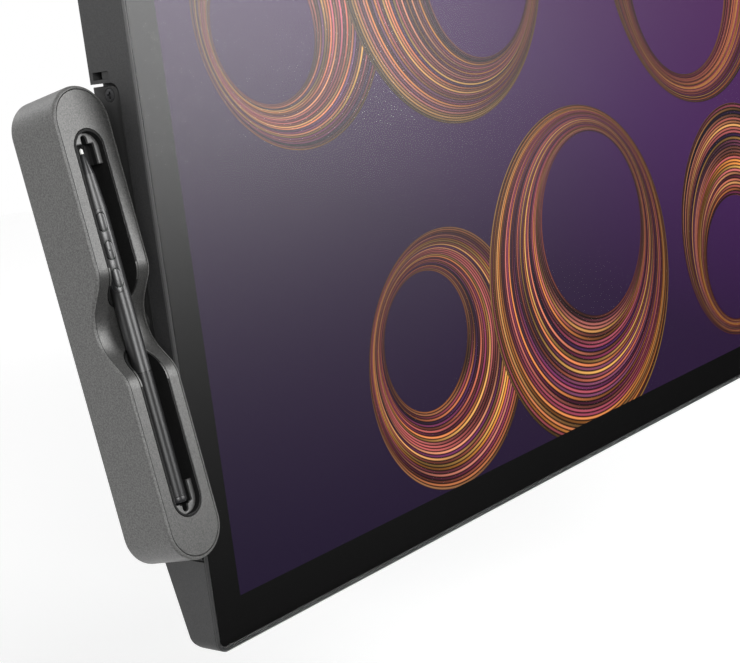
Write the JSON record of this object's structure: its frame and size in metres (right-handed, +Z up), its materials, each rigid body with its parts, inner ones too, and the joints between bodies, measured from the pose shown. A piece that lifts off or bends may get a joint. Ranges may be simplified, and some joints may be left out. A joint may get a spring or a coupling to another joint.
{
  "type": "pen display",
  "caption": "Graphics tablet with a screen: a wide flat display with a leaning pen tray on its left side, a pen lying in it and a bolt pattern on the back.",
  "frame": {"origin": "centre of the square bolt pattern, on the display's flat back face", "axes": "+X to the right as the screen is seen, +Y out of the back, +Z up; the screen faces -Y"},
  "size_m": [0.6664, 0.0654, 0.3798],
  "materials": {
    "glass": "lightly etched, anti-glare",
    "black_print": "printed ink",
    "foam": "foam tape",
    "panel": "lit picture area",
    "film": "translucent white",
    "lamp": "lamp strip",
    "plated_steel": "plated sheet",
    "green_board": "solder mask",
    "black_gloss": "satin gloss",
    "black_plastic": "fine texture",
    "brass": "machined",
    "chip_plastic": "moulded",
    "pad_rubber": "soft pad",
    "aluminium": "plain sheet",
    "black_screw": "black zinc",
    "socket_plastic": "moulded",
    "grey_metal": "satin powder coat",
    "speckled_grey": "fine speckle",
    "light_grey": "fine metallic",
    "liner_black": "matt",
    "cradle_grey": "satin",
    "pin_steel": "ground",
    "nib_white": "hard nylon",
    "pen_grip": "soft touch",
    "pen_black": "satin",
    "pen_gloss": "gloss",
    "button_gloss": "gloss",
    "copper": "enamelled wire"
  },
  "bodies": {
    "display": {"backlight_pan": "plated_steel", "board_chips": "chip_plastic", "board_screws": "black_screw", "board_spacers": "brass", "bolt_bushes": "brass", "bolt_plate": "plated_steel", "border_print": "black_print", "chassis_plate": "plated_steel", "cover_glass": "glass", "driver_board": "green_board", "film_stack": "film", "frame_screws": "black_screw", "front_trim": "black_gloss", "glass_gasket": "foam", "heat_spreader": "aluminium", "hinge_nut": "plated_steel", "hinge_pin": "pin_steel", "hinge_washer": "pin_steel", "inner_frame": "black_plastic", "lamp_bar": "lamp", "light_guide": "film", "lock_slot_tab": "plated_steel", "main_board": "green_board", "port_board": "green_board", "power_socket": "socket_plastic", "power_switch": "chip_plastic", "rear_housing": "black_plastic", "screen_panel": "panel", "sensor_board": "green_board", "side_cover": "black_plastic", "side_screws": "black_screw", "switch_board": "green_board", "thermal_pad": "pad_rubber", "tray_bracket": "grey_metal", "usb_sockets": "plated_steel", "video_socket": "plated_steel"},
    "tray": {"tray_shell": "speckled_grey", "tray_face": "light_grey", "tray_liner": "liner_black", "cradle_upper": "cradle_grey", "cradle_lower": "cradle_grey", "tray_back": "speckled_grey", "tray_back_screws": "black_screw", "hinge_plate": "plated_steel", "nib_rack": "liner_black", "spare_nibs": "nib_white"},
    "pen": {"pen_barrel": "pen_grip", "pen_nose": "pen_black", "switch_plate": "pen_gloss", "pen_ring": "pen_black", "pen_rear_barrel": "pen_grip", "pen_end_plug": "pen_black", "pen_sleeve": "pen_black", "pen_coil": "copper", "pen_board": "green_board"},
    "pen_button_upper": {"pen_button_upper": "button_gloss"},
    "pen_button_middle": {"pen_button_middle": "button_gloss"},
    "pen_button_lower": {"pen_button_lower": "button_gloss"},
    "pen_nib": {"pen_nib": "nib_white"},
    "power_button": {"power_button": "black_gloss"}
  },
  "joints": [
    {"name": "tray_tilt", "type": "hinge", "parent": "display", "child": "tray", "pos_m": [-0.33435, -0.007, -0.03856], "axis": [-1, 0, 0], "range_deg": [-10.2, 4.8]},
    {"name": "pen_lift", "type": "slide", "parent": "tray", "child": "pen", "axis": [0, -0.9842, 0.1771], "range_m": [0, 0.04]},
    {"name": "nib_press", "type": "slide", "parent": "pen", "child": "pen_nib", "axis": [0, -0.1771, -0.9842], "range_m": [0, 0.0005], "stiffness_N_per_m": 6000},
    {"name": "power_press", "type": "slide", "parent": "display", "child": "power_button", "axis": [0, 0, -1], "range_m": [0, 0.0006], "stiffness_N_per_m": 3000},
    {"name": "pen_press_upper", "type": "slide", "parent": "pen", "child": "pen_button_upper", "axis": [0.5446, 0.8254, -0.1485], "range_m": [0, 0.0004], "stiffness_N_per_m": 3000},
    {"name": "pen_press_middle", "type": "slide", "parent": "pen", "child": "pen_button_middle", "axis": [0.5446, 0.8254, -0.1485], "range_m": [0, 0.0004], "stiffness_N_per_m": 3000},
    {"name": "pen_press_lower", "type": "slide", "parent": "pen", "child": "pen_button_lower", "axis": [0.5446, 0.8254, -0.1485], "range_m": [0, 0.0004], "stiffness_N_per_m": 3000}
  ]
}
